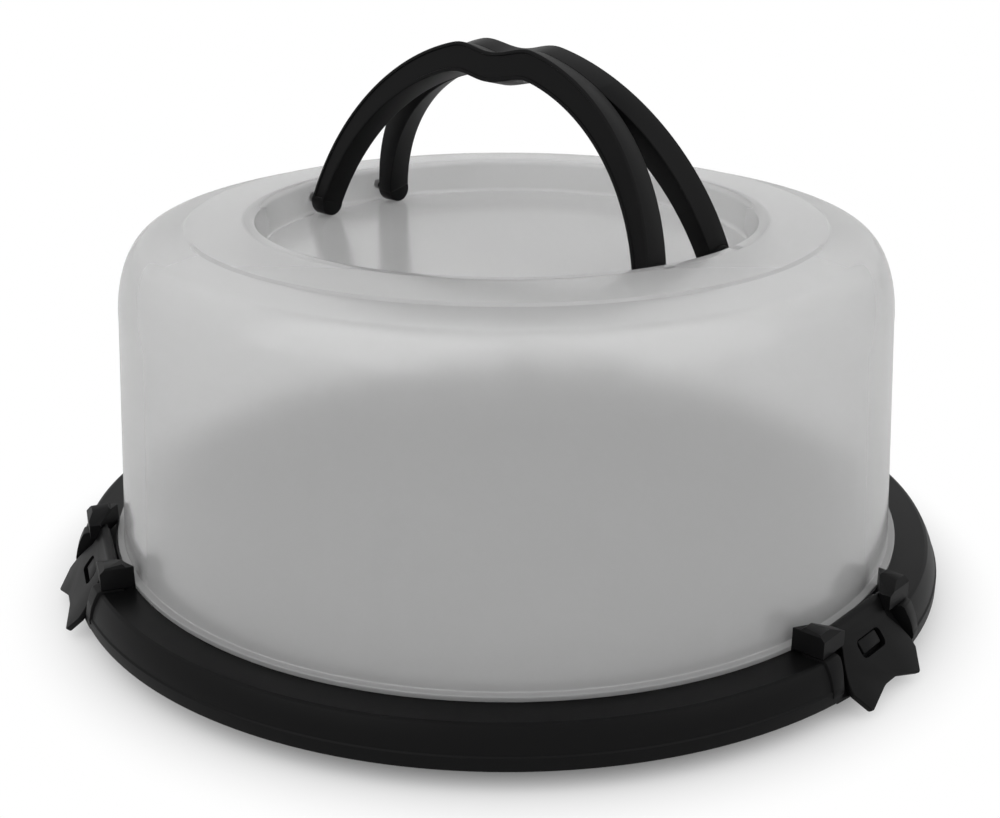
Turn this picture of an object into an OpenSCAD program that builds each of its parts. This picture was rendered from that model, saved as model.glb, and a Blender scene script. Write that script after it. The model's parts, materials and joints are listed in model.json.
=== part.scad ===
// Round cake carrier: a tray, a domed lid held by three latches, and two folding bail handles.
// The origin is the centre of the tray's underside, +Z is up, and -Y faces the front.

/* [Tray] */
// Radius of the rim's vertical lip, which the other radii follow inwards
tray_r = 175; // [155:0.5:195]
// Distance of the floor's edge inside the lip
foot_set = 26; // [23.5:0.5:32]
// Height of the rim's lower edge above the table
lip_z = 8; // [7:0.5:12]
// Height of the rim's vertical lip
lip_h = 5.2; // [4:0.1:6]
// Height of the shelf that carries the lid
shelf_z = 23; // [21:0.5:26]
// Distance of the shelf's outer edge inside the lip
slope_w = 4.2; // [3.8:0.1:4.8]
// Wall thickness of the tray
tray_wall = 2.5; // [1.8:0.1:3]
// Height of the locating ring above the shelf
ring_h = 4; // [2:0.5:6]
// Gap between the locating ring and the lid's wall
ring_gap = 0.5; // [0.3:0.1:1]
// How far the pads at the latches stand above the rim
pad_h = 0.8; // [0.4:0.1:1.2]

/* [Lid] */
// Width of the shelf outside the lid's bottom flange
ledge_w = 12.8; // [12:0.1:13.4]
// Height of the bottom flange
flange_h = 2.1; // [1.5:0.1:3]
// Width of the bottom flange outside the lid's wall
flange_w = 2.8; // [2.6:0.1:3.4]
// How far the lid's wall leans in up to the foot of the shoulder
draft_w = 5.2; // [3:0.1:8]
// Height of the lid's straight wall
wall_h = 89.8; // [60:1:120]
// Height of the rounded shoulder
shoulder_h = 29.7; // [20:0.1:40]
// Width of the rounded shoulder
shoulder_w = 14.4; // [10:0.1:20]
// Wall thickness of the lid
lid_wall = 2; // [1.5:0.1:2.5]
// Width of the ring between the shoulder and the small step on the top
crown_w = 14; // [8:0.1:20]
// Height of the small step
step_h = 0.9; // [0.4:0.1:2]
// Width of the flat ring between the small step and the recess
top_w = 26.4; // [20:0.1:32]
// Depth of the recess
recess_h = 13.4; // [13:0.1:20]
// Rounding of the recess mouth
recess_round = 2.5; // [1:0.1:4]

/* [Latches] */
// Azimuth of the first latch
latch_az = -41; // [-60:1:-20]
// Distance of the hinge axis outside the lid's flange
axis_out = 3.8; // [3.7:0.1:4.2]
// Height of the latch axis above the shelf
latch_axis_h = 3.8; // [3.7:0.1:4.2]
// Slope of the closed latch plate below the level
latch_slope = 52; // [50:0.5:54]
// Half width of the plate between the lugs
latch_neck = 15.9; // [14:0.1:18]
// Half width of the plate at its corners
latch_half_w = 22.4; // [21:0.1:24]
// Distance of the plate's corners from the axis
latch_corner = 21.6; // [20:0.1:23]
// Distance of the tail's points from the axis
latch_len = 30.2; // [28.5:0.1:32]
// Thickness of the latch plate
latch_t = 2.2; // [1.6:0.1:2.4]
// Height of the plate's outer face above the hinge axis
latch_face = 1.3; // [1:0.1:1.8]
// Distance of the window's near edge from the axis
window_near = 7.6; // [7:0.1:8.5]
// Length of the window down the plate
window_len = 7; // [6:0.1:8]
// Half width of the window
window_half = 7.9; // [6:0.1:9]
// Radius of the hinge barrel
barrel_r = 2; // [1.9:0.1:2.6]
// Radius of the trunnions
trunnion_r = 1.5; // [1.2:0.1:1.6]
// Length of each trunnion
trunnion_len = 4.5; // [3:0.1:6]

/* [Brackets] */
// Gap between the latch and each lug
lug_gap = 0.4; // [0.2:0.1:0.8]
// Width of each lug
lug_w = 14; // [10:0.1:15]
// Distance of the lugs' outer faces outside the hinge axis
lug_reach = 5.7; // [5.3:0.1:6.1]
// Height of the lugs above the shelf
lug_h = 10.1; // [9.8:0.1:11.5]
// Chamfer on the lugs' outer top edges
lug_chamfer = 2; // [1.5:0.1:3]
// Width of the corner cut away from each lug, beside the latch
cut_w = 8.8; // [6:0.1:9.5]
// Depth of that cut
cut_d = 5.2; // [3:0.1:6]
// Fall of a lug's top over the width of the cut
slant_h = 3.6; // [2:0.1:3.8]

/* [Handles] */
// Azimuth of the handles' pivot axes
handle_az = -44; // [-60:1:-30]
// Distance of each pivot axis from the centre plane
pivot_off = 18.8; // [18:0.1:20]
// Height of the pivot axes above the recess floor
pivot_h = 5.9; // [5.8:0.1:7]
// Gap between the recess's wall and the circle of a handle's outer edge
handle_play = 4.4; // [4:0.1:8]
// Difference between the radii of a handle's outer and inner edges
leg_w = 6; // [4:0.1:6.5]
// Width of a handle at the middle of its grip
grip_w = 11.1; // [8:0.1:12]
// Depth of a handle
handle_d = 10.9; // [8:0.1:11]
// Depth of the finger waves in the grip
wave_h = 4.4; // [0:0.1:6]
// Distance from the middle of the grip to each crest of the wave
wave_half = 21; // [15:0.5:25]
// Lean of each handle towards the other
handle_lean = 13; // [11:0.1:14]
// Radius of the pivot pegs
peg_r = 2; // [1.5:0.1:2.5]
// Radius of the handle's foot round the pivot
foot_boss_r = 5.4; // [4:0.1:5.6]

/* [Hidden] */

// Running clearance of trunnions and pegs in their holes
run_gap = 0.06;
// Clearance between pieces of different bodies that pass each other
pass_gap = 0.4;
// Clearance under a bracket that hangs from the lid
hang_gap = 0.3;
// Half the gap between the two handles where they meet
meet_gap = 0.15;
latch_count = 3;
latch_pitch = 360 / latch_count;
fine = 180;
big = 2.3 * tray_r;

// Radii, from the tray's lip inwards
shelf_r = tray_r - slope_w;
foot_r = tray_r - foot_set;
flange_r = shelf_r - ledge_w;
lid_r = flange_r - flange_w;
shoulder_r = lid_r - draft_w;
latch_axis_r = flange_r + axis_out;
lug_r = latch_axis_r + lug_reach;

// Lid heights, from the shelf up, and the radii of the top
flange_top = shelf_z + flange_h;
wall_top = shelf_z + wall_h;
shoulder_end = 83.6;
shoulder_cx = shoulder_r - shoulder_w;
crown_r = shoulder_cx + shoulder_w * cos(shoulder_end);
crown_z = wall_top + shoulder_h * sin(shoulder_end);
step_r = crown_r - crown_w;
step_low_r = step_r + 1.3;
recess_r = step_r - top_w;
step_z = crown_z + 2.8;
mouth_z = step_z + step_h + 1.6;
recess_floor_z = mouth_z - recess_h;
recess_floor_r = recess_r - 1;
recess_fillet = 1.5;

// Tray levels
ring_r = lid_r - lid_wall - ring_gap;
well_r = ring_r - tray_wall;
floor_t = tray_wall;
lip_top = lip_z + lip_h;
slope_r = tray_r - 0.6;
edge_drop = 1.2;

// The latch plate lies in a frame that is turned down by its slope at the hinge axis:
// x runs down the plate from the axis, y along the axis and z out of the plate
latch_axis_z = shelf_z + latch_axis_h;
plate_bottom = latch_face - latch_t;
plate_widens = 6.9;
window_far = window_near + window_len;
tail_half = 17.3;
notch_x = latch_len - 4.5;
head_slope = 13;
pocket_gap = 0.8;
pocket_floor = plate_bottom - pocket_gap;
pocket_half = latch_half_w + 2.8;
// Length of the space kept clear for a closed latch, beyond the tray's rim
clear_len = 2 * latch_len;
lug_in = latch_neck + lug_gap;
lug_out = lug_in + lug_w;
lug_bottom = shelf_z + pad_h + hang_gap;
lug_top = shelf_z + lug_h;
nib_half = window_half - 1.9;
nib_near = window_near + pass_gap;
nib_top = latch_face - pass_gap;
// The window's far edge, at the underside of the plate, is as near as the plate gets to the centre there
nib_r = latch_axis_r + window_far * cos(latch_slope) + plate_bottom * sin(latch_slope) - pass_gap;
stake_r = 0.7;
// Small chamfer on the lid's flange
edge_r = 0.4;
// A bracket's tongue lies in a rebate under the flange, and its strip runs along the flange's edge
tongue_z = shelf_z + 0.1;
rebate_z = shelf_z + 1;
strip_in = flange_r + 0.1;
strip_out = flange_r + 0.8;
pad_in = strip_out + 0.5;
seat_gap = 0.05;

// Handles
pivot_z = recess_floor_z + pivot_h;
handle_r = recess_r - handle_play;
outer_drop = pivot_off + 0.2;
handle_ri = handle_r - leg_w;
inner_drop = outer_drop + grip_w - leg_w;
foot_out = sqrt(handle_r * handle_r - outer_drop * outer_drop);
foot_in = sqrt(handle_ri * handle_ri - inner_drop * inner_drop);
panel_rim = 1.3;
panel_h = 0.5;
collar_r = 3.5;
collar_w = 1.2;
// The collar's outer side stops short of the recess wall
collar_end = sqrt(pow(recess_floor_r, 2) - pow(pivot_off + collar_r, 2)) - 0.3;
peg_end = sqrt(pow(recess_r, 2) - pow(pivot_off, 2)) + lid_wall + 2;

// Dip of the grip's finger wave at a distance u from the middle
function dip(u) = abs(u) < wave_half ? wave_h * (0.5 + 0.5 * cos(180 * u / wave_half)) : 0;

// One edge of a handle: an arc of radius r whose centre lies drop below the pivot axis, with the finger wave
function edge(r, drop, steps) = let (a = asin(drop / r))
    [for (i = [0:steps]) let (t = a + (180 - 2 * a) * i / steps, u = r * cos(t))
        [u, r * sin(t) - drop - dip(u)]];

function reverse(list) = [for (i = [len(list) - 1:-1:0]) list[i]];

// Outline of a handle, made slimmer on both edges by inset
module handle_outline(inset = 0) {
    polygon(concat(edge(handle_r - inset, outer_drop, 72),
        reverse(edge(handle_ri + inset, inner_drop, 72))));
}

module at_latch(i) {
    rotate([0, 0, latch_az - (i - 1) * latch_pitch]) children();
}

module in_latch_frame() {
    translate([latch_axis_r, 0, latch_axis_z]) rotate([0, latch_slope, 0]) children();
}

// Block from a to b
module block(a, b) {
    translate(a) cube(b - a);
}

// Cylinder along y from y0 to y1
module bar_y(r, y0, y1) {
    translate([0, y0, 0]) rotate([-90, 0, 0]) cylinder(r = r, h = y1 - y0, $fn = 48);
}

// Points of the rim's rounded slope, from the lip up to the shelf's edge, grown by g
function slope(g) = [for (i = [0:8]) let (k = i / 8)
    [slope_r + g - (slope_r - shelf_r) * k * (0.4 + 0.6 * k),
        lip_top + 0.4 + (shelf_z - 0.5 + g - lip_top - 0.4) * k]];

// Solid form of the rim, grown by g where it faces out and up
module rim_form(g = 0) {
    rotate_extrude($fn = fine) polygon([
        [foot_r - tray_wall, lip_z], [tray_r + g / 2, lip_z], [tray_r + g / 2, lip_top],
        each slope(g),
        [shelf_r - edge_drop + g, shelf_z + g], [foot_r - tray_wall, shelf_z + g]]);
}

// Open channel under the rim
module rim_channel() {
    rotate_extrude($fn = fine) polygon([
        [foot_r, lip_z - 1], [tray_r - tray_wall, lip_z - 1], [tray_r - tray_wall, lip_top],
        [slope_r - 2.6 - tray_wall, lip_top + 6.2], [shelf_r - tray_wall, shelf_z - tray_wall],
        [foot_r, shelf_z - tray_wall]]);
}

// Floor, well wall and locating ring
module well() {
    rotate_extrude($fn = fine) polygon([
        [0, 0], [foot_r - 2, 0], [foot_r, 2], [foot_r, shelf_z - tray_wall], [ring_r, shelf_z - tray_wall],
        [ring_r, shelf_z + ring_h - 0.6], [ring_r - 0.6, shelf_z + ring_h], [well_r + 0.6, shelf_z + ring_h],
        [well_r, shelf_z + ring_h - 0.6], [foot_r - tray_wall, floor_t + 4],
        [foot_r - tray_wall - 4, floor_t],
        [0, floor_t]]);
}

// Space for one latch, with g left as wall below it
module latch_pocket(g = 0) {
    half = lug_in + g;
    wide = pocket_half + g;
    in_latch_frame() {
        block([0, -half, pocket_floor - g], [clear_len, half, latch_len]);
        bar_y(barrel_r + pass_gap + g, -half, half);
    }
    intersection() {
        in_latch_frame() block([0, -wide, pocket_floor - g], [clear_len, wide, latch_len]);
        block([latch_axis_r + 2.9 - g, -wide, 0], [big, wide, big]);
    }
}

// Catch nib that stands up into the window of a closed latch
module catch_nib() {
    intersection() {
        in_latch_frame()
            block([nib_near, -nib_half, pocket_floor - tray_wall / 2], [clear_len, nib_half, nib_top]);
        block([0, -nib_half, 0], [nib_r, nib_half, big]);
    }
}

module base_tray() {
    color([0.13, 0.13, 0.13]) union() {
        well();
        difference() {
            union() {
                rim_form();
                for (i = [1:latch_count]) at_latch(i) intersection() {
                    rim_form(pad_h);
                    block([pad_in, -lug_out, lip_top - 2], [big, lug_out, big]);
                }
            }
            for (i = [1:latch_count]) at_latch(i) latch_pocket();
            difference() {
                rim_channel();
                for (i = [1:latch_count]) at_latch(i) latch_pocket(tray_wall);
            }
            cylinder(r = foot_r - tray_wall + 0.5, h = shelf_z - tray_wall, $fn = fine);
            translate([0, 0, shelf_z - tray_wall - 1]) cylinder(r = ring_r - 0.5, h = 20, $fn = fine);
        }
        for (i = [1:latch_count]) at_latch(i) catch_nib();
    }
}

// Points of the rounded shoulder, moved in by t
function shoulder(t) = [for (i = [0:14]) let (a = shoulder_end * i / 14)
    [shoulder_cx + (shoulder_w - t) * cos(a), wall_top + (shoulder_h - t) * sin(a)]];

// Points of a quarter round from its outer start to its inner end
function mouth(r, t) = [for (i = [0:6]) let (a = 90 + 15 * i)
    [r + recess_round + (recess_round + t) * cos(a), mouth_z - recess_round + (recess_round + t) * sin(a)]];

module dome_form() {
    rotate_extrude($fn = fine) polygon(concat(
        [[lid_r - lid_wall, shelf_z], [flange_r - edge_r, shelf_z], [flange_r, shelf_z + edge_r],
            [flange_r, flange_top - edge_r], [flange_r - edge_r, flange_top], [lid_r, flange_top]],
        shoulder(0),
        [[step_low_r, step_z], [step_r, step_z + step_h]],
        mouth(recess_r, 0),
        [[recess_floor_r, recess_floor_z + recess_fillet], [recess_floor_r - recess_fillet, recess_floor_z],
            [0, recess_floor_z], [0, recess_floor_z - lid_wall],
            [recess_floor_r + 0.6, recess_floor_z - lid_wall],
            [recess_floor_r + lid_wall, recess_floor_z - lid_wall + 1.4]],
        reverse(mouth(recess_r, -lid_wall)),
        [[step_r, step_z + step_h - lid_wall], [step_low_r, step_z - lid_wall]],
        reverse(shoulder(lid_wall))));
}

module dome_lid() {
    color([0.72, 0.72, 0.72, 0.6]) difference() {
        dome_form();
        for (s = [-1, 1]) rotate([0, 0, handle_az]) translate([-peg_end - 1, s * pivot_off, pivot_z])
            rotate([0, 90, 0]) cylinder(r = peg_r + run_gap, h = 2 * peg_end + 2, $fn = 48);
        for (i = [1:latch_count]) at_latch(i) {
            stakes(run_gap);
            tongue(seat_gap);
        }
    }
}

// Two stakes that stand up through the flange and hold a bracket
module stakes(gap = 0) {
    for (s = [-1, 1]) rotate([0, 0, s * 6.6]) translate([(lid_r + flange_r - edge_r) / 2, 0, tongue_z + 0.2])
        cylinder(r = stake_r + gap, h = flange_top - tongue_z - (gap > 0 ? -1 : 0.3), $fn = 32);
}

// Tongue under the flange, made larger by gap where it is cut out of the flange
module tongue(gap = 0) {
    half = lug_out + gap;
    intersection() {
        rotate_extrude($fn = fine) polygon([[lid_r + 0.3 - gap, gap > 0 ? 0 : tongue_z],
            [strip_out, gap > 0 ? 0 : tongue_z], [strip_out, rebate_z + gap],
            [lid_r + 0.3 - gap, rebate_z + gap]]);
        block([0, -half, 0], [big, half, big]);
    }
}

// Side view of a lug, from the lid's flange to the lug's outer face
module lug_side() {
    polygon([[flange_r - 5, lug_bottom], [lug_r, lug_bottom], [lug_r, lug_top - 0.6 - lug_chamfer],
        [lug_r - lug_chamfer, lug_top - 0.6], [strip_in + 1, lug_top], [strip_in, lug_top - 1],
        [flange_r - 5, lug_top - 1]]);
}

module lugs() {
    for (s = [-1, 1]) difference() {
        translate([0, (s > 0 ? lug_out : -lug_in), 0]) rotate([90, 0, 0]) linear_extrude(lug_w) lug_side();
        translate([latch_axis_r, 0, latch_axis_z]) {
            hole_end = lug_in + trunnion_len + 0.6;
            bar_y(trunnion_r + run_gap, s > 0 ? 0 : -hole_end, s > 0 ? hole_end : 0);
            block([-trunnion_r, -lug_in - 1.4, 0], [trunnion_r, lug_in + 1.4, lug_h]);
        }
        // Corner cut away beside the latch's hinge
        linear_extrude(big) polygon([[strip_in - cut_d, s * (lug_in + 2 * cut_w)],
            [strip_in + 2 * cut_d, s * (lug_in - cut_w)], [strip_in - cut_d, s * (lug_in - cut_w)]]);
        // Top slanting down to the latch
        rotate([90, 0, 90]) linear_extrude(big) polygon([[s * (lug_in + cut_w), lug_top],
            [s * (lug_in + cut_w), lug_top + slant_h], [s * (lug_in - cut_w), lug_top + slant_h],
            [s * (lug_in - cut_w), lug_top - 2 * slant_h]]);
        // Bevel on the far top edge of the lug
        translate([0, s * lug_out, lug_top + 0.6]) rotate([s * 45, 0, 0])
            block([0, -lug_chamfer, -lug_chamfer], [big, lug_chamfer, lug_chamfer]);
    }
}

module latch_bracket(i) {
    color([0.17, 0.17, 0.17]) at_latch(i) {
        difference() {
            union() {
                lugs();
                intersection() {
                    rotate_extrude($fn = fine) polygon([[strip_in, tongue_z], [strip_out, tongue_z],
                        [strip_out, flange_top], [strip_in, flange_top]]);
                    block([0, -lug_out, 0], [big, lug_out, big]);
                }
            }
            translate([0, 0, rebate_z]) cylinder(r = strip_in, h = 20, $fn = fine);
        }
        tongue();
        stakes();
    }
}

// Outline of the latch plate: neck, bowed sides, corners, points and the notch between them
module latch_outline() {
    bow = latch_half_w - latch_neck;
    half = concat([[0, latch_neck]],
        [for (k = [0:6]) [plate_widens + (latch_corner - plate_widens) * k / 6,
            latch_neck + bow * sin(15 * k)]],
        [[latch_corner + 0.9, latch_half_w - 0.5], [latch_len - 1.7, tail_half + 1.7],
            [latch_len - 0.6, tail_half + 1], [latch_len, tail_half], [latch_len - 0.3, tail_half - 1.3],
            [latch_len - 2.3, tail_half - 6.3], [notch_x + 0.6, tail_half - 10.3],
            [notch_x, tail_half - 13.3], [notch_x, 0]]);
    polygon(concat(half, [for (i = [len(half) - 2:-1:0]) [half[i][0], -half[i][1]]]));
}

// Side view of the latch's head, which joins the barrel to the plate's outer face
module latch_head() {
    top = [barrel_r * sin(head_slope), barrel_r * cos(head_slope)];
    polygon([[0, 0], top, [top[0] + (top[1] - latch_face) / tan(head_slope), latch_face],
        [top[0] + (top[1] - latch_face) / tan(head_slope), plate_bottom], [0, plate_bottom]]);
}

module latch(i) {
    color([0.11, 0.11, 0.11]) at_latch(i) in_latch_frame() {
        difference() {
            translate([0, 0, plate_bottom]) linear_extrude(latch_t) latch_outline();
            block([window_near, -window_half, -5], [window_far, window_half, 5]);
        }
        translate([0, latch_neck, 0]) rotate([90, 0, 0]) linear_extrude(2 * latch_neck) latch_head();
        bar_y(barrel_r, -latch_neck, latch_neck);
        bar_y(trunnion_r, -lug_in - trunnion_len, lug_in + trunnion_len);
    }
}

// One handle, standing on its pivot axis: x along the axis, z up and y out of the front
module handle_form() {
    difference() {
        translate([0, handle_d / 2, 0]) rotate([90, 0, 0]) linear_extrude(handle_d) handle_outline();
        translate([0, -handle_d / 2 + panel_h, 0]) rotate([90, 0, 0])
            linear_extrude(5) handle_outline(panel_rim);
    }
    for (s = [0, 180]) rotate([0, 0, s]) rotate([0, 90, 0]) {
        translate([0, 0, foot_in]) cylinder(r = foot_boss_r, h = foot_out - foot_in, $fn = 64);
        translate([0, 0, collar_end - collar_w]) cylinder(r = collar_r, h = collar_w, $fn = 48);
        translate([0, 0, foot_out]) cylinder(r = peg_r, h = peg_end - foot_out, $fn = 48);
    }
}

// A handle in its place, on the front side or turned half round to the rear
module handle(turn) {
    color([0.12, 0.12, 0.12]) rotate([0, 0, handle_az + turn]) difference() {
        translate([0, -pivot_off, pivot_z]) rotate([-handle_lean, 0, 0]) handle_form();
        block([-big, -meet_gap, 0], [big, big, big]);
    }
}

base_tray();
dome_lid();
latch_bracket(1);  // latch_bracket_1
latch_bracket(2);  // latch_bracket_2
latch_bracket(3);  // latch_bracket_3
latch(1);  // latch_1
latch(2);  // latch_2
latch(3);  // latch_3
handle(0);  // handle_front
handle(180);  // handle_rear
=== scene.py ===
"""Looks of a round cake carrier: black tray, frosted lid, three swing latches and two folding bail handles."""
import json
import math

import bmesh
import bpy
from bpy.props import FloatProperty, FloatVectorProperty, IntProperty, PointerProperty
from mathutils import Matrix, Vector


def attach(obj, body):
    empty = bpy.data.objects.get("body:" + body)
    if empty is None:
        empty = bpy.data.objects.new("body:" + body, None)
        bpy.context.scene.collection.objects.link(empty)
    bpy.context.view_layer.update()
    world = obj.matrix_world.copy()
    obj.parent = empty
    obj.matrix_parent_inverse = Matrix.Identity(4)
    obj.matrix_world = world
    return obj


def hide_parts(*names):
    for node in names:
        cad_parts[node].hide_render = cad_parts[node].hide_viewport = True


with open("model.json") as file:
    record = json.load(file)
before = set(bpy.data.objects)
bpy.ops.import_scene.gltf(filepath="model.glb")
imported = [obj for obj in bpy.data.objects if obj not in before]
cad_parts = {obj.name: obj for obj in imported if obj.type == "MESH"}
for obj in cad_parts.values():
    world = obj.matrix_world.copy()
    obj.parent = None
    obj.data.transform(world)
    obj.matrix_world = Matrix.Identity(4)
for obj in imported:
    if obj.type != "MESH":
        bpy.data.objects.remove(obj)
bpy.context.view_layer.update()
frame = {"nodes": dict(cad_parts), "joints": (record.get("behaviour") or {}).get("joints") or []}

bl_info = {
    "name": "Cake carrier",
    "version": (1, 0, 0),
    "blender": (4, 5, 0),
    "location": "View3D > Sidebar > Cake carrier",
    "description": "Models the visible pieces, finishes and studio of a round cake carrier",
    "category": "Add Mesh",
}

MM = 0.001
# Size of the blocks that cut pieces, larger than any piece of the carrier
BEYOND = 0.4
ROUND_STEPS = 200


def length(name, millimetres, description):
    """A size that a user may change, written in millimetres"""
    return FloatProperty(
        name=name, description=description, default=millimetres * MM, precision=4, unit="LENGTH")


class CarrierTray(bpy.types.PropertyGroup):
    """Sizes of the tray"""

    rim_radius: length("Rim radius", 175, "Radius of the rim's upright lip")
    lip_low: length("Lip height", 8, "Height of the lip's lower edge above the table")
    lip_height: length("Lip", 5.2, "Height of the upright lip")
    slope_radius: length("Slope radius", 174.4, "Radius at which the rounded slope starts")
    shelf_radius: length("Shelf radius", 170.8, "Radius of the shelf's outer edge")
    shelf_height: length("Shelf height", 23, "Height of the shelf that carries the lid")
    shelf_edge: length("Shelf edge", 1.2, "Width of the rounding at the shelf's outer edge")
    foot_radius: length("Foot radius", 149, "Radius of the floor")
    wall: length("Wall", 2.5, "Wall thickness")
    ring_radius: length("Ring radius", 152.7, "Outer radius of the ring inside the lid")
    ring_height: length("Ring height", 4, "Height of the ring above the shelf")
    pad_height: length("Pad", 0.8, "How far the pads under the brackets stand above the rim")
    pad_radius: length("Pad radius", 159.3, "Radius at which the pads start")
    pocket_wide: length("Pocket", 25.2, "Half width of a latch pocket at its outer end")


class CarrierLid(bpy.types.PropertyGroup):
    """Sizes of the lid"""

    flange_radius: length("Flange radius", 158, "Radius of the bottom flange")
    flange_height: length("Flange height", 2.1, "Thickness of the bottom flange")
    foot_radius: length("Wall radius, low", 155.2, "Radius of the wall above the flange")
    shoulder_radius: length("Wall radius, high", 150, "Radius of the wall at the foot of the shoulder")
    wall_height: length("Wall height", 89.8, "Height of the straight wall above the shelf")
    shoulder_height: length("Shoulder height", 29.7, "Height of the rounded shoulder")
    shoulder_width: length("Shoulder width", 14.4, "Width of the rounded shoulder")
    wall: length("Wall", 2, "Wall thickness")
    step_radius: length("Step radius", 123.2, "Radius of the small step on the top")
    step_height: length("Step height", 0.9, "Height of the small step")
    recess_radius: length("Recess radius", 96.8, "Radius of the recess at its mouth")
    recess_depth: length("Recess depth", 13.4, "Depth of the recess")
    recess_round: length("Recess rounding", 2.5, "Rounding of the recess's mouth")


class CarrierLatches(bpy.types.PropertyGroup):
    """Sizes of the latches and their brackets"""

    slope: FloatProperty(
        name="Slope", description="How far the closed latch leans below the level", default=math.radians(52),
        subtype="ANGLE")
    neck: length("Neck", 15.9, "Half width of the plate between the lugs")
    corner_half: length("Corner width", 22.4, "Half width of the plate at its corners")
    widens: length("Widens", 6.9, "Distance from the axis at which the plate starts to widen")
    corner: length("Corner", 21.6, "Distance of the plate's corners from the axis")
    reach: length("Reach", 30.2, "Distance of the tail's points from the axis")
    tail_half: length("Tail", 17.3, "Half the distance between the tail's points")
    notch: length("Notch", 4.5, "Depth of the notch between the tail's points")
    thickness: length("Thickness", 2.2, "Thickness of the plate")
    face: length("Face", 1.3, "Height of the outer face above the hinge axis")
    window_near: length("Window, near", 7.6, "Distance of the window's near edge from the axis")
    window_far: length("Window, far", 14.6, "Distance of the window's far edge from the axis")
    window_half: length("Window", 7.9, "Half width of the window")
    barrel: length("Barrel", 2, "Radius of the hinge barrel")
    trunnion: length("Trunnion", 1.5, "Radius of the trunnions")
    trunnion_reach: length("Trunnion reach", 20.8, "Distance of a trunnion's end from the latch's middle")
    lug_inner: length("Lug, inner", 16.3, "Distance of a lug's inner face from the latch's middle")
    lug_width: length("Lug width", 14, "Width of a lug along the axis")
    lug_radius: length("Lug radius", 167.5, "Distance of a lug's outer face from the carrier's axis")
    lug_bottom: length("Lug bottom", 24.1, "Height of a lug's underside")
    lug_top: length("Lug top", 33.1, "Height of a lug's upper edge")
    lug_bevel: length("Lug bevel", 2, "Bevel on a lug's outer and far upper edges")
    cut_width: length("Corner cut width", 8.8, "Width of the corner cut from each lug beside the latch")
    cut_depth: length("Corner cut depth", 5.2, "Depth of that cut")
    slant: length("Lug slant", 3.6, "Fall of a lug's top over the width of the cut")


class CarrierHandles(bpy.types.PropertyGroup):
    """Sizes of the handles"""

    lean: FloatProperty(
        name="Lean", description="How far each raised handle leans to the other", default=math.radians(13),
        subtype="ANGLE")
    outer_radius: length("Outer radius", 92.4, "Radius of the outer edge")
    inner_radius: length("Inner radius", 86.4, "Radius of the inner edge")
    outer_drop: length("Outer drop", 19, "Depth of the outer edge's centre below the pivot axis")
    inner_drop: length("Inner drop", 24.1, "Depth of the inner edge's centre below the pivot axis")
    depth: length("Depth", 10.9, "Depth of a handle from front to back")
    wave: length("Wave", 4.4, "Depth of the finger wave in the grip")
    wave_half: length("Wave width", 21, "Distance from the middle to each crest of the wave")
    rim: length("Rim", 1.3, "Width of the rim round the sunk panel")
    panel: length("Panel", 0.5, "Depth of the sunk panel")
    boss: length("Boss", 5.4, "Radius of the foot round the pivot")
    collar: length("Collar", 3.5, "Radius of the collar on each peg")
    collar_width: length("Collar width", 1.2, "Width of the collar along the peg")
    peg: length("Peg", 2, "Radius of the pivot pegs")
    collar_end: length("Collar end", 92.87, "Distance of the collar's outer side from the middle")
    peg_end: length("Peg end", 98.96, "Distance of the peg's end from the middle")
    gap: length("Gap", 0.15, "Half the gap between the raised handles where they meet")


class CarrierColours(bpy.types.PropertyGroup):
    """Colours of the finishes"""

    lid: FloatVectorProperty(
        name="Lid", description="Frosted polypropylene of the lid", subtype="COLOR", size=3,
        default=(0.92, 0.92, 0.92), min=0, max=1)
    black: FloatVectorProperty(
        name="Black plastic", description="Satin black of the tray and the fittings", subtype="COLOR", size=3,
        default=(0.0040, 0.0040, 0.0042), min=0, max=1)
    floor: FloatVectorProperty(
        name="Floor", description="Pale studio floor", subtype="COLOR", size=3,
        default=(0.80, 0.80, 0.80), min=0, max=1)


class CarrierStudio(bpy.types.PropertyGroup):
    """Camera and lights"""

    camera_distance: FloatProperty(
        name="Camera distance", description="Level distance from the carrier's axis to the camera",
        default=0.5773, unit="LENGTH")
    camera_height: FloatProperty(
        name="Camera height", description="Height of the camera above the table", default=0.2806, unit="LENGTH")
    camera_pitch: FloatProperty(
        name="Camera pitch", description="How far the camera looks down", default=math.radians(20.53),
        subtype="ANGLE")
    camera_roll: FloatProperty(
        name="Camera roll", description="Turn of the picture", default=math.radians(0.06), subtype="ANGLE")
    camera_lens: FloatProperty(
        name="Lens", description="Focal length on a 36 mm wide sensor, in millimetres", default=54.25)
    camera_shift: FloatProperty(
        name="Shift", description="Sideways shift of the picture, as a share of its width", default=-0.0063)


def new_material(name):
    """An empty node material with its Principled shader and its Object coordinates"""
    material = bpy.data.materials.new(name)
    material.use_nodes = True
    nodes = material.node_tree.nodes
    shader = nodes["Principled BSDF"]
    coordinates = nodes.new("ShaderNodeTexCoord")
    return material, shader, coordinates.outputs["Object"]


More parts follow.
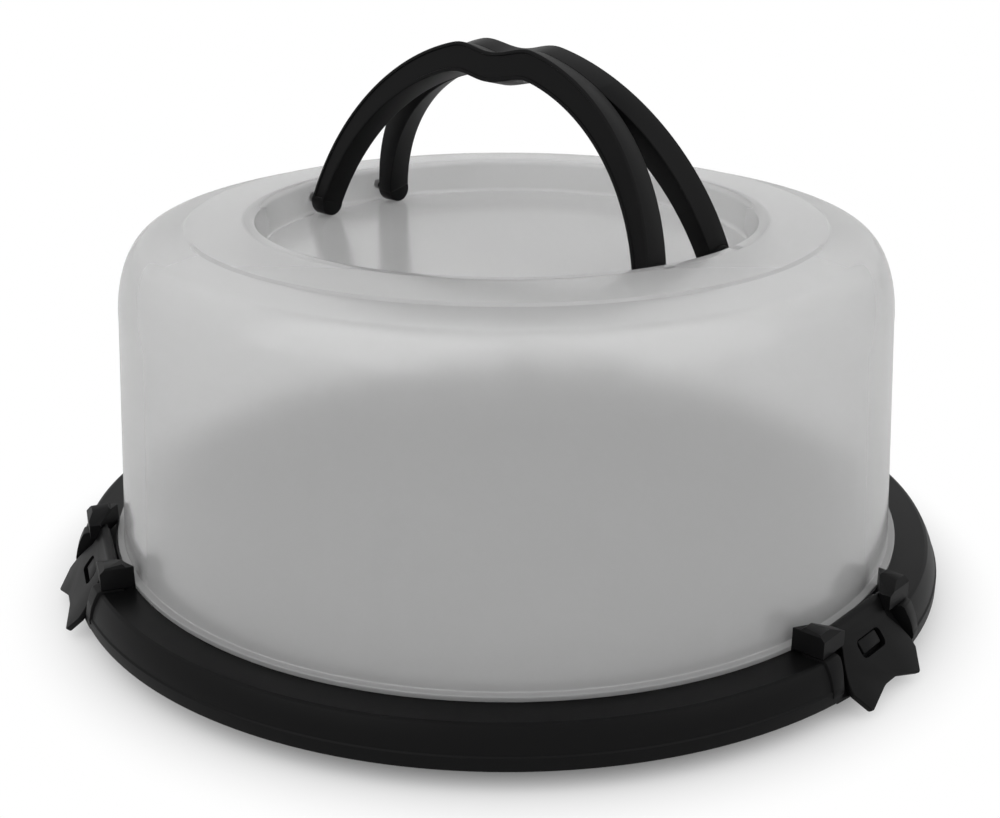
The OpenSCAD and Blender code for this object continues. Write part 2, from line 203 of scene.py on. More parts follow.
def black_plastic(name, colour, painted_light_scale=1.0):
    """Moulded black plastic: a faint grain and a gloss that varies a little, with its colour scaled up or down
    to paint light or shade onto a copy
    """
    material, shader, place = new_material(name)
    tree = material.node_tree
    grain = tree.nodes.new("ShaderNodeTexNoise")
    grain.inputs["Scale"].default_value = 900
    grain.inputs["Detail"].default_value = 3
    tree.links.new(place, grain.inputs["Vector"])
    patches = tree.nodes.new("ShaderNodeTexNoise")
    patches.inputs["Scale"].default_value = 22
    patches.inputs["Detail"].default_value = 2
    tree.links.new(place, patches.inputs["Vector"])
    gloss = tree.nodes.new("ShaderNodeMapRange")
    gloss.inputs["To Min"].default_value = 0.34
    gloss.inputs["To Max"].default_value = 0.46
    tree.links.new(patches.outputs["Fac"], gloss.inputs["Value"])
    tree.links.new(gloss.outputs["Result"], shader.inputs["Roughness"])
    bump = tree.nodes.new("ShaderNodeBump")
    bump.inputs["Strength"].default_value = 0.06
    bump.inputs["Distance"].default_value = 0.0002
    tree.links.new(grain.outputs["Fac"], bump.inputs["Height"])
    tree.links.new(bump.outputs["Normal"], shader.inputs["Normal"])
    # The base colour is scaled here: above 1 is painted light, below 1 is painted shade, on the same black
    # plastic
    shader.inputs["Base Color"].default_value = (*[c * painted_light_scale for c in colour], 1)
    shader.inputs["IOR"].default_value = 1.49
    shader.inputs["Specular IOR Level"].default_value = 0.11
    return material


def frosted_plastic(name, colour):
    """Frosted polypropylene: milky, lets some light through, with a soft gloss"""
    material, shader, place = new_material(name)
    tree = material.node_tree
    haze = tree.nodes.new("ShaderNodeTexNoise")
    haze.inputs["Scale"].default_value = 9
    haze.inputs["Detail"].default_value = 3
    tree.links.new(place, haze.inputs["Vector"])
    gloss = tree.nodes.new("ShaderNodeMapRange")
    gloss.inputs["To Min"].default_value = 0.16
    gloss.inputs["To Max"].default_value = 0.20
    tree.links.new(haze.outputs["Fac"], gloss.inputs["Value"])
    tree.links.new(gloss.outputs["Result"], shader.inputs["Roughness"])
    shader.inputs["Base Color"].default_value = (*colour, 1)
    shader.inputs["Transmission Weight"].default_value = 0.68
    shader.inputs["IOR"].default_value = 1.49
    return material


def deselect_all():
    if bpy.context.object and bpy.context.object.mode != "OBJECT":
        bpy.ops.object.mode_set(mode="OBJECT")
    bpy.ops.object.select_all(action="DESELECT")


def fillets(corners):
    """Points of an outline through corners (across, up, radius), with an arc where the radius isn't zero"""
    points = []
    for index, (across, up, radius) in enumerate(corners):
        here = Vector((across, up))
        if radius == 0:
            points.append(here)
            continue
        before = (Vector(corners[index - 1][:2]) - here).normalized()
        after = (Vector(corners[(index + 1) % len(corners)][:2]) - here).normalized()
        half = before.angle(after) / 2
        centre = here + (before + after).normalized() * radius / math.sin(half)
        start = here + before * radius / math.tan(half) - centre
        turn = start.angle_signed(here + after * radius / math.tan(half) - centre)
        steps = max(3, math.ceil(abs(turn) / math.radians(15)))
        points += [centre + Matrix.Rotation(-turn * step / steps, 2) @ start for step in range(steps + 1)]
    return points


def draw(name, points, closed=True):
    """A line through points, extruded from one vertex; the new object stays in edit mode, all selected"""
    deselect_all()
    bpy.ops.mesh.primitive_plane_add(size=MM, location=(0, 0, 0))
    bpy.context.object.name = name
    bpy.ops.object.mode_set(mode="EDIT")
    bpy.ops.mesh.merge(type="CENTER")
    bpy.ops.transform.translate(value=points[0])
    rest = points[1:] + points[:1] if closed else points[1:]
    here = points[0]
    for point in rest:
        bpy.ops.mesh.extrude_region_move(TRANSFORM_OT_translate={"value": point - here})
        here = point
    bpy.ops.mesh.select_all(action="SELECT")
    bpy.ops.mesh.remove_doubles(threshold=MM / 500)
    return bpy.context.object


def turned(name, corners, closed=True):
    """A round solid: an outline of (radius, height) points spun about the carrier's axis"""
    solid = draw(name, [Vector((point[0], 0, point[1])) for point in corners], closed)
    bpy.ops.mesh.spin(steps=ROUND_STEPS, angle=math.tau, center=(0, 0, 0), axis=(0, 0, 1))
    bpy.ops.mesh.select_all(action="SELECT")
    bpy.ops.mesh.remove_doubles(threshold=MM / 500)
    bpy.ops.mesh.normals_make_consistent(inside=False)
    bpy.ops.object.mode_set(mode="OBJECT")
    return solid


def slab(name, outline, thickness):
    """A flat solid: an outline in the XY plane, given a thickness upwards"""
    solid = draw(name, [Vector((point[0], point[1], 0)) for point in outline])
    bpy.ops.mesh.edge_face_add()
    bpy.ops.mesh.extrude_region_move(TRANSFORM_OT_translate={"value": (0, 0, thickness)})
    bpy.ops.mesh.select_all(action="SELECT")
    bpy.ops.mesh.normals_make_consistent(inside=False)
    bpy.ops.object.mode_set(mode="OBJECT")
    return solid


def band(name, outer, inner, thickness):
    """A flat solid between two lines with as many points each, in the XY plane, given a thickness upwards"""
    lines = []
    for line in (outer, inner):
        lines.append(draw(name, [Vector((point[0], point[1], 0)) for point in line], closed=False))
        bpy.ops.object.mode_set(mode="OBJECT")
    solid = join(name, lines)
    bpy.ops.object.mode_set(mode="EDIT")
    bpy.ops.mesh.select_all(action="SELECT")
    bpy.ops.mesh.bridge_edge_loops()
    bpy.ops.mesh.select_all(action="SELECT")
    bpy.ops.mesh.extrude_region_move(TRANSFORM_OT_translate={"value": (0, 0, thickness)})
    bpy.ops.mesh.select_all(action="SELECT")
    bpy.ops.mesh.normals_make_consistent(inside=False)
    bpy.ops.object.mode_set(mode="OBJECT")
    return solid


def block(name, low, high):
    """A block between two corners"""
    deselect_all()
    low, high = Vector(low), Vector(high)
    bpy.ops.mesh.primitive_cube_add(size=1, location=(low + high) / 2, scale=high - low)
    bpy.context.object.name = name
    settle(bpy.context.object)
    return bpy.context.object


def rod(name, radius, start, end, axis="Y"):
    """A round bar along an axis of the piece"""
    deselect_all()
    turn = (math.pi / 2, 0, 0) if axis == "Y" else (0, math.pi / 2, 0)
    place = [0, 0, 0]
    place["XYZ".index(axis)] = (start + end) / 2
    bpy.ops.mesh.primitive_cylinder_add(
        vertices=48, radius=radius, depth=end - start, location=place, rotation=turn)
    bpy.context.object.name = name
    settle(bpy.context.object)
    return bpy.context.object


def settle(piece, place=None):
    """Put the piece's place into its mesh, so that the object itself sits at the origin"""
    deselect_all()
    bpy.context.view_layer.objects.active = piece
    piece.select_set(True)
    if place is not None:
        piece.matrix_world = place @ piece.matrix_world
    bpy.ops.object.transform_apply(location=True, rotation=True, scale=True)
    return piece


def shape(piece, kind, **settings):
    """Add a modifier and apply it"""
    deselect_all()
    bpy.context.view_layer.objects.active = piece
    piece.select_set(True)
    bpy.ops.object.modifier_add(type=kind)
    modifier = piece.modifiers[-1]
    for setting, value in settings.items():
        setattr(modifier, setting, value)
    bpy.ops.object.modifier_apply(modifier=modifier.name)
    return piece


def combine(piece, other, operation):
    """Join, cut or keep the piece by another solid, which is used up"""
    shape(piece, "BOOLEAN", object=other, operation=operation, solver="EXACT")
    bpy.data.objects.remove(other)
    return piece


def bevel(piece, width, segments=2, limit=35):
    """Round the sharp edges"""
    return shape(
        piece, "BEVEL", width=width, segments=segments, limit_method="ANGLE", angle_limit=math.radians(limit),
        harden_normals=False)


def join(name, pieces):
    """Make several solids one object"""
    deselect_all()
    for piece in pieces:
        piece.select_set(True)
    bpy.context.view_layer.objects.active = pieces[0]
    if len(pieces) > 1:
        bpy.ops.object.join()
    bpy.context.object.name = name
    return bpy.context.object


def duplicate(piece, name):
    """A copy of a piece with a mesh of its own"""
    copy = piece.copy()
    copy.data = piece.data.copy()
    copy.name = name
    bpy.context.collection.objects.link(copy)
    return copy


def cut(piece, point, normal):
    """Take away what lies beyond a plane and close the cut"""
    deselect_all()
    bpy.context.view_layer.objects.active = piece
    piece.select_set(True)
    bpy.ops.object.mode_set(mode="EDIT")
    bpy.ops.mesh.select_all(action="SELECT")
    bpy.ops.mesh.bisect(plane_co=point, plane_no=normal, use_fill=True, clear_outer=True)
    bpy.ops.object.mode_set(mode="OBJECT")
    return piece


def complete(piece, body, nodes, material, smooth=30):
    """Smooth the piece, give it its finish and tie it to the frame"""
    deselect_all()
    bpy.context.view_layer.objects.active = piece
    piece.select_set(True)
    bpy.ops.object.shade_smooth_by_angle(angle=math.radians(smooth))
    piece.data.materials.clear()
    piece.data.materials.append(material)
    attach(piece, body)
    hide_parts(*nodes)


def latch_joints():
    """Name, azimuth, radius and height of each latch's hinge axis, from the frame"""
    for joint in frame["joints"]:
        if joint["child"].startswith("latch"):
            x, y, z = joint["pos_m"]
            yield joint["child"], math.atan2(y, x), math.hypot(x, y), z


def latch_place(azimuth, radius, height, slope):
    """Frame of a closed latch: x down the plate, y along the hinge axis, z out of the plate"""
    return (Matrix.Rotation(azimuth, 4, "Z") @ Matrix.Translation((radius, 0, height))
            @ Matrix.Rotation(slope, 4, "Y"))


def mirrored(half):
    """A whole outline from its half at positive y, given from its near end to its far end"""
    return [Vector(point) for point in half] + [Vector((point[0], -point[1])) for point in reversed(half)]


class CARRIER_OT_tray(bpy.types.Operator):
    """Model the tray: floor, rim with its rounded slope, ring, pads, latch pockets and catch nibs"""

    bl_idname = "carrier.tray"
    bl_label = "Tray"

    def execute(self, context):
        sizes = context.scene.carrier_tray
        latches = context.scene.carrier_latches
        tray = turned("tray_shell", self.shell(sizes), closed=False)
        pads = turned("pads", self.rim(sizes, sizes.pad_height))
        reach = latches.lug_inner + latches.lug_width
        blocks = [
            settle(block("pad_block", (sizes.pad_radius, -reach, sizes.lip_low + sizes.lip_height - 2 * MM),
                         (BEYOND, reach, BEYOND)), Matrix.Rotation(azimuth, 4, "Z"))
            for name, azimuth, radius, height in latch_joints()]
        combine(tray, combine(pads, join("pad_blocks", blocks), "INTERSECT"), "UNION")
        housing = turned("pocket_walls", self.rim(sizes, 0))
        combine(housing, self.pockets(sizes, latches, sizes.wall), "INTERSECT")
        combine(tray, housing, "UNION")
        combine(tray, self.pockets(sizes, latches, 0), "DIFFERENCE")
        combine(tray, self.nibs(latches), "UNION")
        bevel(tray, 0.35 * MM)
        complete(tray, "tray", ["base_tray"], bpy.data.materials["black_tray_plastic"])
        return {"FINISHED"}

    def slope(self, sizes, grow):
        """The rim's rounded slope from the lip up to the shelf"""
        low = sizes.lip_low + sizes.lip_height + 0.4 * MM
        rise = sizes.shelf_height - 0.5 * MM + grow - low
        drop = sizes.slope_radius - sizes.shelf_radius
        return [(sizes.slope_radius + grow - drop * k * (0.4 + 0.6 * k), low + rise * k, 0)
                for k in [step / 16 for step in range(17)]]

    def shell(self, sizes):
        """Outline of the tray from the middle of its underside round to the middle of its floor"""
        wall = sizes.wall
        lip_top = sizes.lip_low + sizes.lip_height
        shelf_low = sizes.shelf_height - wall
        ring_in = sizes.ring_radius - wall
        ring_top = sizes.shelf_height + sizes.ring_height
        outer = fillets([
            (0, 0, 0), (sizes.foot_radius, 0, 2 * MM), (sizes.foot_radius, shelf_low, 0.8 * MM),
            (sizes.shelf_radius - wall, shelf_low, 1.5 * MM), (sizes.rim_radius - wall, lip_top, 0),
            (sizes.rim_radius - wall, sizes.lip_low, 0.6 * MM), (sizes.rim_radius, sizes.lip_low, 0.8 * MM),
            (sizes.rim_radius, lip_top, 0.4 * MM), *self.slope(sizes, 0),
            (sizes.shelf_radius - sizes.shelf_edge, sizes.shelf_height, 0.3 * MM),
            (sizes.ring_radius, sizes.shelf_height, 0.4 * MM), (sizes.ring_radius, ring_top, 0.7 * MM),
            (ring_in, ring_top, 0.7 * MM), (sizes.foot_radius - wall, wall + 1 * MM, 5 * MM), (0, wall, 0)])
        return outer

    def rim(self, sizes, grow):
        """Outline of the rim as a solid, grown where it faces out and up"""
        inside = sizes.foot_radius - sizes.wall / 2
        lip = sizes.rim_radius + grow / 2
        top = sizes.shelf_height + grow
        return fillets([
            (inside, sizes.lip_low + 0.02 * MM, 0), (lip - 0.01 * MM, sizes.lip_low + 0.02 * MM, 0),
            (lip - 0.01 * MM, sizes.lip_low + sizes.lip_height, 0), *self.slope(sizes, grow),
            (sizes.shelf_radius - sizes.shelf_edge + grow, top, 0), (inside, top, 0)])

    def pockets(self, sizes, latches, grow):
        """The three latch pockets as solids, grown by a wall thickness for what stands round them"""
        deep = latches.face - latches.thickness - 0.8 * MM - grow
        neck = latches.lug_inner + grow
        wide = sizes.pocket_wide + grow
        start = 2.9 * MM / math.cos(latches.slope) - grow
        outline = mirrored([
            (-2 * MM - grow, neck), (start, neck), (start, wide - 2.4 * MM), (start + 5 * MM, wide - 1.8 * MM),
            (start + 10 * MM, wide - 0.6 * MM), (start + 15 * MM, wide), (60 * MM, wide)])
        made = []
        for name, azimuth, radius, height in latch_joints():
            pocket = slab("pocket", outline, 30 * MM)
            settle(pocket, Matrix.Translation((0, 0, deep)))
            barrel = rod("pocket_barrel", latches.barrel + 0.4 * MM + grow, -neck, neck)
            combine(pocket, barrel, "UNION")
            made.append(settle(pocket, latch_place(azimuth, radius, height, latches.slope)))
        return join("pockets", made)

    def nibs(self, latches):
        """The catch nibs that stand up into the latches' windows"""
        half = latches.window_half - 1.9 * MM
        near = latches.window_near + 0.4 * MM
        far = latches.window_far - 0.4 * MM - 1.3 * MM
        foot = latches.face - latches.thickness - 2 * MM
        made = []
        for name, azimuth, radius, height in latch_joints():
            nib = block("nib", (near, -half, foot), (far, half, latches.face - 0.4 * MM))
            bevel(nib, 0.5 * MM)
            made.append(settle(nib, latch_place(azimuth, radius, height, latches.slope)))
        return join("nibs", made)


class CARRIER_OT_lid(bpy.types.Operator):
    """Model the lid: flange, wall, rounded shoulder, stepped top and recess"""

    bl_idname = "carrier.lid"
    bl_label = "Lid"

    def execute(self, context):
        sizes = context.scene.carrier_lid
        shelf = context.scene.carrier_tray.shelf_height
        lid = turned("lid_shell", self.outline(sizes, shelf), closed=False)
        complete(lid, "lid", ["dome_lid"], bpy.data.materials["frosted_lid_plastic"])
        return {"FINISHED"}

    def outline(self, sizes, shelf):
        """Outline of the lid from the middle of the recess's floor round to the middle of its underside"""
        wall = sizes.wall
        end = math.radians(83.6)
        middle = sizes.shoulder_radius - sizes.shoulder_width
        wall_top = shelf + sizes.wall_height
        crown = wall_top + sizes.shoulder_height * math.sin(end)
        step_low = crown + 2.8 * MM
        step_top = step_low + sizes.step_height
        mouth = step_top + 1.6 * MM
        floor = mouth - sizes.recess_depth
        recess = sizes.recess_radius
        steps = 28

        def shoulder(inset):
            return [
                (middle + (sizes.shoulder_width - inset) * math.cos(end * step / steps),
                 wall_top + (sizes.shoulder_height - inset) * math.sin(end * step / steps), 0)
                for step in range(steps + 1)]

        outside = [
            (0, floor, 0), (recess - 1 * MM, floor, 1.8 * MM), (recess, mouth, sizes.recess_round),
            (recess + 2 * sizes.recess_round, mouth, 1.2 * MM), (sizes.step_radius, step_top, 0.3 * MM),
            (sizes.step_radius + 1.3 * MM, step_low, 0.3 * MM), *reversed(shoulder(0)),
            (sizes.foot_radius, shelf + sizes.flange_height, 0.5 * MM),
            (sizes.flange_radius, shelf + sizes.flange_height, 0.4 * MM),
            (sizes.flange_radius, shelf, 0.4 * MM), (sizes.foot_radius - wall, shelf, 0.3 * MM)]
        inside = [
            *shoulder(wall), (sizes.step_radius + 1.3 * MM, step_low - wall, 0),
            (sizes.step_radius, step_top - wall, 0), (recess + wall + sizes.recess_round, mouth - wall, 1 * MM),
            (recess + wall, floor - wall, 2.5 * MM), (0, floor - wall, 0)]
        return fillets(outside + inside)


class CARRIER_OT_latches(bpy.types.Operator):
    """Model one latch and copy it to the three hinge axes"""

    bl_idname = "carrier.latches"
    bl_label = "Latches"

    def execute(self, context):
        sizes = context.scene.carrier_latches
        first = self.latch(sizes)
        for name, azimuth, radius, height in latch_joints():
            latch = duplicate(first, name + "_plate")
            settle(latch, latch_place(azimuth, radius, height, sizes.slope))
            complete(latch, name, [name], bpy.data.materials["black_latch_plastic"])
        bpy.data.objects.remove(first)
        return {"FINISHED"}

    def latch(self, sizes):
        """A latch round its own hinge axis"""
        bow = sizes.corner_half - sizes.neck
        swell = sizes.corner - sizes.widens
        sides = [
            (sizes.widens + swell * step / 10, sizes.neck + bow * math.sin(math.pi * step / 20), 0)
            for step in range(10)]
        notch = sizes.reach - sizes.notch
        half = [
            (0, sizes.neck, 0), *sides, (sizes.corner + 0.4 * MM, sizes.corner_half, 1.2 * MM),
            (sizes.reach, sizes.tail_half, 1.4 * MM),
            (notch + 1.6 * MM, sizes.tail_half - 8.5 * MM, 6 * MM), (notch, sizes.tail_half - 13.3 * MM, 8 * MM)]
        whole = half + [(across, -up, radius) for across, up, radius in reversed(half)]
        plate = slab("latch_plate", fillets(whole), sizes.thickness)
        settle(plate, Matrix.Translation((0, 0, sizes.face - sizes.thickness)))
        bevel(plate, 0.45 * MM, segments=3)
        window = slab("latch_window", fillets([
            (across, up, 2.2 * MM) for across, up in (
                (sizes.window_near, -sizes.window_half), (sizes.window_far, -sizes.window_half),
                (sizes.window_far, sizes.window_half), (sizes.window_near, sizes.window_half))]), 10 * MM)
        settle(window, Matrix.Translation((0, 0, -5 * MM)))
        combine(plate, window, "DIFFERENCE")
        combine(plate, self.head(sizes), "UNION")
        trunnion = rod("trunnion", sizes.trunnion, -sizes.trunnion_reach, sizes.trunnion_reach)
        return combine(plate, trunnion, "UNION")

    def head(self, sizes):
        """The head: a barrel that runs out into the plate's face"""
        slope = math.radians(13)
        top = Vector((sizes.barrel * math.sin(slope), sizes.barrel * math.cos(slope)))
        meet = top.x + (top.y - sizes.face) / math.tan(slope)
        low = sizes.face - sizes.thickness
        back = [
            (sizes.barrel * math.sin(angle), sizes.barrel * math.cos(angle), 0)
            for angle in [slope - math.radians(12) * step for step in range(18)]]
        outline = [(meet, low + 0.05 * MM, 0), (meet, sizes.face - 0.02 * MM, 0), *back]
        head = slab("latch_head", fillets(outline), 2 * sizes.neck)
        turn = Matrix.Translation((0, sizes.neck, 0)) @ Matrix.Rotation(math.pi / 2, 4, "X")
        return settle(head, turn)


class CARRIER_OT_brackets(bpy.types.Operator):
    """Model one bracket, two lugs on a strip, and copy it to the three latches"""

    bl_idname = "carrier.brackets"
    bl_label = "Brackets"

    def execute(self, context):
        sizes = context.scene.carrier_latches
        lid = context.scene.carrier_lid
        shelf = context.scene.carrier_tray.shelf_height
        for name, azimuth, radius, height in latch_joints():
            bracket = self.bracket(sizes, lid, shelf, radius, height)
            bracket.name = name.replace("latch", "bracket")
            settle(bracket, Matrix.Rotation(azimuth, 4, "Z"))
            node = name.replace("latch", "latch_bracket")
            complete(bracket, "lid", [node], bpy.data.materials["black_bracket_plastic"])
        return {"FINISHED"}

    def bracket(self, sizes, lid, shelf, radius, height):
        """A bracket on the carrier's +X side"""
        reach = sizes.lug_inner + sizes.lug_width
        inner = lid.flange_radius - 5 * MM
        bend = sizes.lug_radius - sizes.lug_bevel
        seat = lid.flange_radius + 0.1 * MM
        side = [
            (inner, sizes.lug_bottom), (sizes.lug_radius, sizes.lug_bottom),
            (sizes.lug_radius, sizes.lug_top - 0.6 * MM - sizes.lug_bevel), (bend, sizes.lug_top - 0.6 * MM),
            (seat + MM, sizes.lug_top), (seat, sizes.lug_top - MM), (inner, sizes.lug_top - MM)]
        lugs = []
        for turn in (1, -1):
            lug = slab("lug", side, sizes.lug_width)
            near_y = reach if turn > 0 else -sizes.lug_inner
            settle(lug, Matrix.Translation((0, near_y, 0)) @ Matrix.Rotation(math.pi / 2, 4, "X"))
            near = turn * (sizes.lug_inner - sizes.cut_width)
            far = turn * (sizes.lug_inner + sizes.cut_width)
            corner = slab("corner_space", [
                (seat - sizes.cut_depth, 1.5 * far - 0.5 * near), (seat + 2 * sizes.cut_depth, near),
                (seat - sizes.cut_depth, near)], 60 * MM)
            combine(lug, corner, "DIFFERENCE")
            above = slab("slant_space", [
                (far, sizes.lug_top), (far, sizes.lug_top + sizes.slant), (near, sizes.lug_top + sizes.slant),
                (near, sizes.lug_top - 2 * sizes.slant)], BEYOND)
            settle(above, Matrix(((0, 0, 1, 0), (1, 0, 0, 0), (0, 1, 0, 0), (0, 0, 0, 1))))
            combine(lug, above, "DIFFERENCE")
            edge = Vector((0, turn * (reach - sizes.lug_bevel * 0.6), sizes.lug_top))
            cut(lug, edge, (0, turn, 1))
            hole = rod("trunnion_hole", sizes.trunnion + 0.06 * MM, -sizes.trunnion_reach - 0.3 * MM,
                       sizes.trunnion_reach + 0.3 * MM)
            settle(hole, Matrix.Translation((radius, 0, height)))
            combine(lug, hole, "DIFFERENCE")
            lugs.append(lug)
        bracket = join("bracket", lugs)
        wall = turned("flange_space", [
            (0, 0), (seat, 0), (seat, 60 * MM), (0, 60 * MM)], closed=False)
        combine(bracket, wall, "DIFFERENCE")
        bevel(bracket, 0.4 * MM)
        strip = turned("strip", [
            (seat, shelf + 0.1 * MM), (seat + 0.7 * MM, shelf + 0.1 * MM),
            (seat + 0.7 * MM, shelf + 2.1 * MM), (seat, shelf + 2.1 * MM)])
        keep = block("strip_span", (0, -reach, 0), (BEYOND, reach, BEYOND))
        combine(strip, keep, "INTERSECT")
        return combine(bracket, strip, "UNION")


class CARRIER_OT_handles(bpy.types.Operator):
    """Model one bail handle and copy it to the two pivot axes"""

    bl_idname = "carrier.handles"
    bl_label = "Handles"

    def execute(self, context):
        sizes = context.scene.carrier_handles
        first = self.handle(sizes)
        for joint in frame["joints"]:
            if not joint["child"].startswith("handle"):
                continue
            x, y, z = joint["pos_m"]
            turn = Matrix.Rotation(math.atan2(x, -y), 4, "Z")
            handle = duplicate(first, joint["child"] + "_bail")
            lean = Matrix.Translation((0, -math.hypot(x, y), z)) @ Matrix.Rotation(-sizes.lean, 4, "X")
            settle(handle, lean)
            cut(handle, (0, -sizes.gap, 0), (0, 1, 0))
            settle(handle, turn)
            complete(
                handle, joint["child"], [joint["child"]], bpy.data.materials["black_handle_plastic"])
        bpy.data.objects.remove(first)
        return {"FINISHED"}

    def edge(self, sizes, radius, drop):
        """One edge of the handle: an arc with the finger wave in its middle"""
        steps = 140
        start = math.asin(drop / radius)
        points = []
        for step in range(steps + 1):
            angle = start + (math.pi - 2 * start) * step / steps
            across = radius * math.cos(angle)
            dip = 0
            if abs(across) < sizes.wave_half:
                dip = sizes.wave * (0.5 + 0.5 * math.cos(math.pi * across / sizes.wave_half))
            points.append(Vector((across, radius * math.sin(angle) - drop - dip)))
        return points

    def handle(self, sizes):
        """A handle that stands on its pivot axis, with its sunk panel to the front"""
        outer = self.edge(sizes, sizes.outer_radius, sizes.outer_drop)
        inner = self.edge(sizes, sizes.inner_radius, sizes.inner_drop)
        bail = band("bail", outer, inner, sizes.depth)
        settle(bail, Matrix.Translation((0, sizes.depth / 2, 0)) @ Matrix.Rotation(math.pi / 2, 4, "X"))
        bevel(bail, 0.6 * MM, segments=3, limit=50)
        self.sink_panel(bail, sizes)
        foot_in, foot_out = inner[0].x, outer[0].x
        for side in (1, -1):
            for radius, start, end in (
                (sizes.boss, foot_in, foot_out), (sizes.collar, sizes.collar_end - sizes.collar_width, sizes.collar_end),
                (sizes.peg, foot_out, sizes.peg_end),
            ):
                bar = rod("foot", radius, min(side * start, side * end), max(side * start, side * end), axis="X")
                bevel(bar, 0.4 * MM)
                combine(bail, bar, "UNION")
        return bail

    def sink_panel(self, bail, sizes):
        """Inset the front face and push it in, which leaves the raised rim"""
        bpy.ops.object.mode_set(mode="EDIT")
        bpy.ops.mesh.select_mode(type="FACE")
        bpy.ops.mesh.select_all(action="DESELECT")
        mesh = bmesh.from_edit_mesh(bail.data)
        for face in mesh.faces:
            face.select = face.normal.y < -0.99
        bmesh.update_edit_mesh(bail.data)
        bpy.ops.mesh.inset(thickness=sizes.rim - 0.6 * MM, depth=0)
        bpy.ops.mesh.inset(thickness=0.25 * MM, depth=-sizes.panel)
        bpy.ops.object.mode_set(mode="OBJECT")


class CARRIER_OT_finishes(bpy.types.Operator):
    """Give every CAD node its finish"""

    bl_idname = "carrier.finishes"
    bl_label = "Finishes"

    def execute(self, context):
        colours = context.scene.carrier_colours
        finishes = {
            "tray": black_plastic("black_tray_plastic", colours.black),
            # Brackets: the same black plastic with painted light, 1.5 times lighter
            "latch_bracket": black_plastic("black_bracket_plastic", colours.black, 1.5),
            # Latches: the same black plastic with painted shade, a little darker
            "latch": black_plastic("black_latch_plastic", colours.black, 0.9),
            "handle": black_plastic("black_handle_plastic", colours.black),
            "dome": frosted_plastic("frosted_lid_plastic", colours.lid),
        }
        for name, node in frame["nodes"].items():
            finish = next((finishes[key] for key in finishes if name.startswith(key)), finishes["tray"])
            node.data.materials.clear()
            node.data.materials.append(finish)
        return {"FINISHED"}


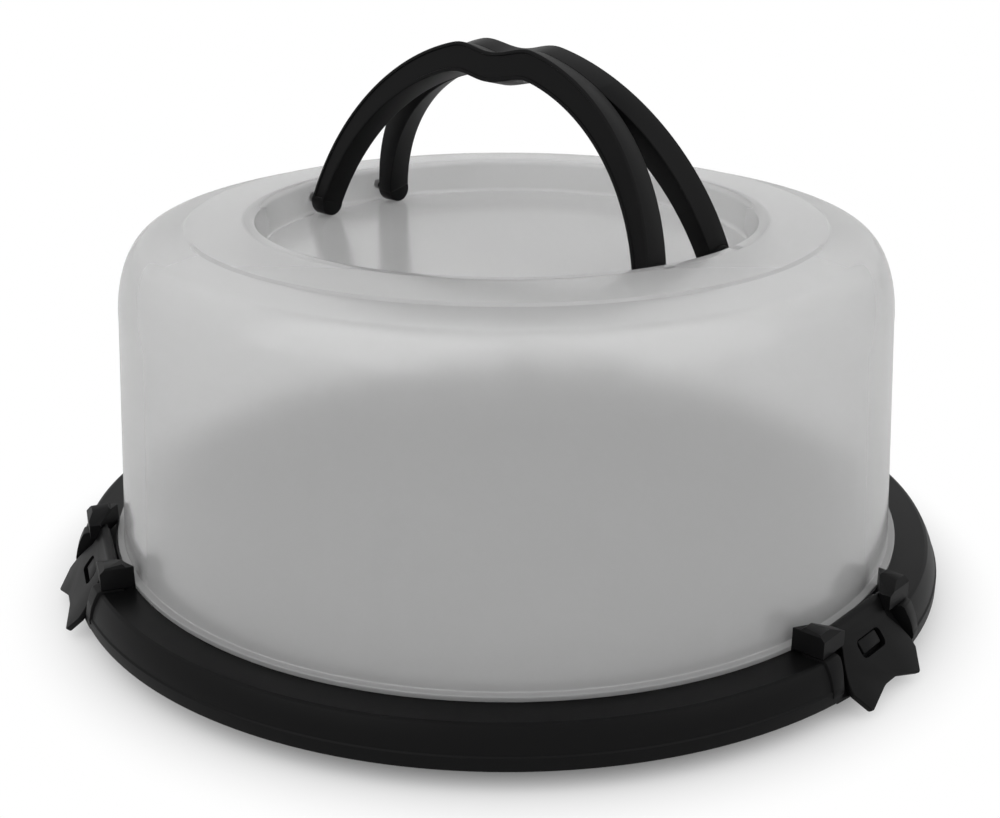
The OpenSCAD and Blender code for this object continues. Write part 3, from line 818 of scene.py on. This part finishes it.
class CARRIER_OT_studio(bpy.types.Operator):
    """Set up the camera, the floor and the lights"""

    bl_idname = "carrier.studio"
    bl_label = "Studio"

    def execute(self, context):
        studio = context.scene.carrier_studio
        scene = context.scene
        deselect_all()
        bpy.ops.object.camera_add(location=(0, -studio.camera_distance, studio.camera_height))
        camera = context.object
        camera.name = "photo_camera"
        camera.rotation_mode = "XYZ"
        turn = Matrix.Rotation(math.pi / 2 - studio.camera_pitch, 4, "X")
        camera.rotation_euler = (turn @ Matrix.Rotation(studio.camera_roll, 4, "Z")).to_euler()
        camera.data.sensor_width = 36
        camera.data.lens = studio.camera_lens
        camera.data.shift_x = studio.camera_shift
        camera.data.clip_start = 0.01
        scene.camera = camera

        bpy.ops.mesh.primitive_plane_add(size=30, location=(0, 0, 0))
        floor = context.object
        floor.name = "studio_floor"
        floor.data.materials.append(self.floor_finish(context.scene.carrier_colours.floor))

        world = scene.world or bpy.data.worlds.new("studio_world")
        scene.world = world
        world.use_nodes = True
        tree = world.node_tree
        background = tree.nodes["Background"]
        background.inputs["Color"].default_value = (1, 1, 1, 1)
        background.inputs["Strength"].default_value = 0.68
        path = tree.nodes.new("ShaderNodeLightPath")
        seen = tree.nodes.new("ShaderNodeMath")
        seen.operation = "MAXIMUM"
        tree.links.new(path.outputs["Is Camera Ray"], seen.inputs[0])
        tree.links.new(path.outputs["Is Transmission Ray"], seen.inputs[1])
        white = tree.nodes.new("ShaderNodeBackground")
        white.inputs["Color"].default_value = (1, 1, 1, 1)
        mix = tree.nodes.new("ShaderNodeMixShader")
        tree.links.new(seen.outputs["Value"], mix.inputs["Fac"])
        tree.links.new(background.outputs["Background"], mix.inputs[1])
        tree.links.new(white.outputs["Background"], mix.inputs[2])
        tree.links.new(mix.outputs["Shader"], tree.nodes["World Output"].inputs["Surface"])

        for name, place, size, power in (
            ("key_softbox", (-1.1, -0.9, 1.5), (1.9, 2.0), 10),
            ("fill_softbox", (1.2, -0.7, 1.3), (1.5, 1.8), 6),
        ):
            bpy.ops.object.light_add(type="AREA", location=place)
            lamp = context.object
            lamp.name = name
            lamp.data.shape = "RECTANGLE"
            lamp.data.size, lamp.data.size_y = size
            lamp.data.energy = power
            lamp.rotation_euler = (Vector((0, 0, 0.08)) - Vector(place)).to_track_quat("-Z", "Y").to_euler()
        scene.view_settings.view_transform = "Standard"
        return {"FINISHED"}

    def floor_finish(self, colour):
        """Pale floor with the carrier's shadow, white to the camera away from the carrier"""
        material, shader, place = new_material("studio_floor_finish")
        tree = material.node_tree
        shader.inputs["Base Color"].default_value = (*colour, 1)
        shader.inputs["Roughness"].default_value = 0.9
        shader.inputs["Specular IOR Level"].default_value = 0
        white = tree.nodes.new("ShaderNodeEmission")
        distance = tree.nodes.new("ShaderNodeVectorMath")
        distance.operation = "LENGTH"
        tree.links.new(place, distance.inputs[0])
        fade = tree.nodes.new("ShaderNodeMapRange")
        fade.interpolation_type = "SMOOTHSTEP"
        fade.inputs["From Min"].default_value = 0.150
        fade.inputs["From Max"].default_value = 0.205
        tree.links.new(distance.outputs["Value"], fade.inputs["Value"])
        path = tree.nodes.new("ShaderNodeLightPath")
        seen = tree.nodes.new("ShaderNodeMath")
        seen.operation = "MAXIMUM"
        tree.links.new(path.outputs["Is Camera Ray"], seen.inputs[0])
        tree.links.new(path.outputs["Is Transmission Ray"], seen.inputs[1])
        share = tree.nodes.new("ShaderNodeMath")
        share.operation = "MULTIPLY"
        tree.links.new(seen.outputs["Value"], share.inputs[0])
        tree.links.new(fade.outputs["Result"], share.inputs[1])
        mix = tree.nodes.new("ShaderNodeMixShader")
        tree.links.new(share.outputs["Value"], mix.inputs["Fac"])
        tree.links.new(shader.outputs["BSDF"], mix.inputs[1])
        tree.links.new(white.outputs["Emission"], mix.inputs[2])
        tree.links.new(mix.outputs["Shader"], tree.nodes["Material Output"].inputs["Surface"])
        return material


class CARRIER_PT_panel(bpy.types.Panel):
    """Lists a button for each piece"""

    bl_label = "Cake carrier"
    bl_idname = "CARRIER_PT_panel"
    bl_space_type = "VIEW_3D"
    bl_region_type = "UI"
    bl_category = "Cake carrier"

    def draw(self, context):
        for operator in OPERATORS:
            self.layout.operator(operator.bl_idname)


OPERATORS = (
    CARRIER_OT_finishes, CARRIER_OT_tray, CARRIER_OT_lid, CARRIER_OT_latches, CARRIER_OT_brackets,
    CARRIER_OT_handles, CARRIER_OT_studio)
GROUPS = {
    "carrier_tray": CarrierTray,
    "carrier_lid": CarrierLid,
    "carrier_latches": CarrierLatches,
    "carrier_handles": CarrierHandles,
    "carrier_colours": CarrierColours,
    "carrier_studio": CarrierStudio,
}
CLASSES = (*GROUPS.values(), *OPERATORS, CARRIER_PT_panel)


def register():
    for item in CLASSES:
        bpy.utils.register_class(item)
    for name, group in GROUPS.items():
        setattr(bpy.types.Scene, name, PointerProperty(type=group))


def unregister():
    for name in GROUPS:
        delattr(bpy.types.Scene, name)
    for item in reversed(CLASSES):
        bpy.utils.unregister_class(item)


def corners(box):
    return [[round(value, 6) for value in corner] for corner in box]


def main():
    register()
    bpy.ops.carrier.finishes()
    bpy.ops.carrier.tray()
    bpy.ops.carrier.lid()
    bpy.ops.carrier.latches()
    bpy.ops.carrier.brackets()
    bpy.ops.carrier.handles()
    bpy.ops.carrier.studio()


if __name__ == "__main__":
    main()
